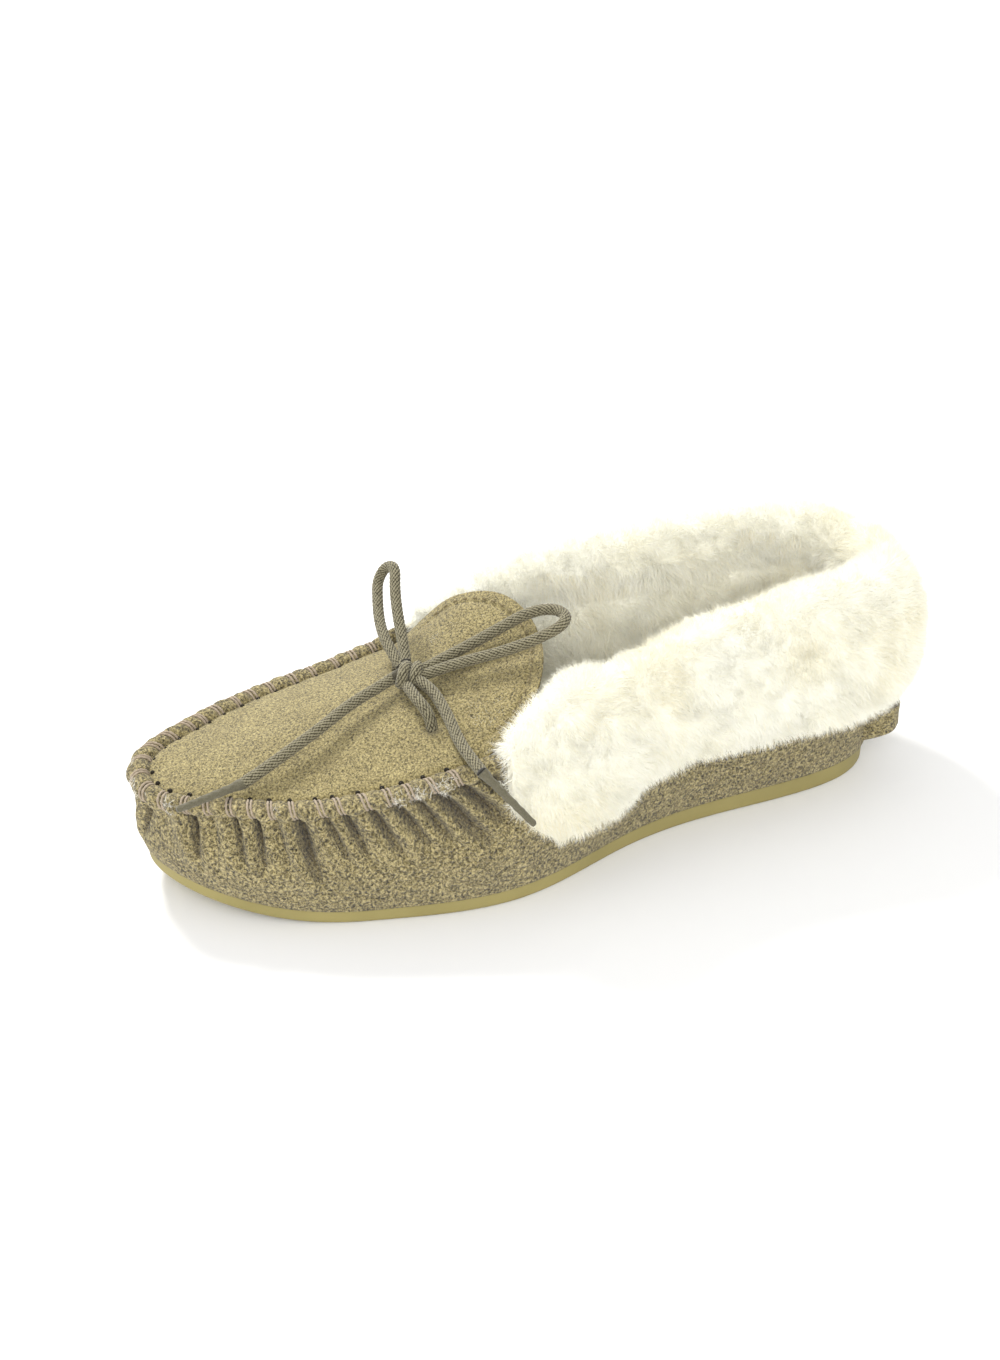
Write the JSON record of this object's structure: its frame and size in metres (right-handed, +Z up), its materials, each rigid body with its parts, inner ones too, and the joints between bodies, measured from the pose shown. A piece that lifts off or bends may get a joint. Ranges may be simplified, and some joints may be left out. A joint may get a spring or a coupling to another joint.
{
  "type": "moccasin",
  "caption": "Left suede moccasin slipper with a puckered whip-stitched toe, a laced bow, a lifting tongue and a turned-out sheepskin collar on a thin rubber sole.",
  "frame": {"origin": "on the ground under the middle of the outsole", "axes": "+Z up, +Y from toe to heel, +X to the outer side of the left foot"},
  "size_m": [0.1114, 0.2755, 0.0832],
  "materials": {
    "sole_rubber": "matte moulded rubber",
    "board": "matte fibreboard",
    "foam": "matte open foam",
    "suede": "coarse napped suede",
    "suede_fine": "fine napped suede",
    "fleece": "long soft wool pile",
    "thread": "matte waxed thread",
    "lace_braid": "round braided lace",
    "aglet": "shrunk film over braid"
  },
  "bodies": {
    "root": {"outsole": "sole_rubber", "insole_board": "board", "cushion_foam": "foam", "insock": "fleece", "vamp": "suede", "vamp_lining": "fleece", "quarter_lining": "fleece", "collar_cuff": "fleece", "apron": "suede_fine", "apron_lining": "fleece", "heel_tab": "suede", "whip_stitches": "thread", "heel_seam_stitches": "thread", "collar_seam_stitches": "thread", "lace_end_front": "lace_braid", "lace_end_side": "lace_braid", "lace_loop_far": "lace_braid", "lace_bridge": "lace_braid", "lace_knot": "lace_braid", "aglet_front": "aglet", "aglet_side": "aglet"},
    "tongue_flap": {"tongue": "suede_fine", "tongue_lining": "fleece", "tongue_topstitch": "thread", "lace_loop_near": "lace_braid"}
  },
  "joints": [
    {"name": "tongue_lift", "type": "hinge", "parent": "root", "child": "tongue_flap", "pos_m": [0, -0.028, 0.062], "axis": [1, 0, 0], "range_deg": [0, 35], "stiffness_Nm_per_rad": 0.004}
  ]
}
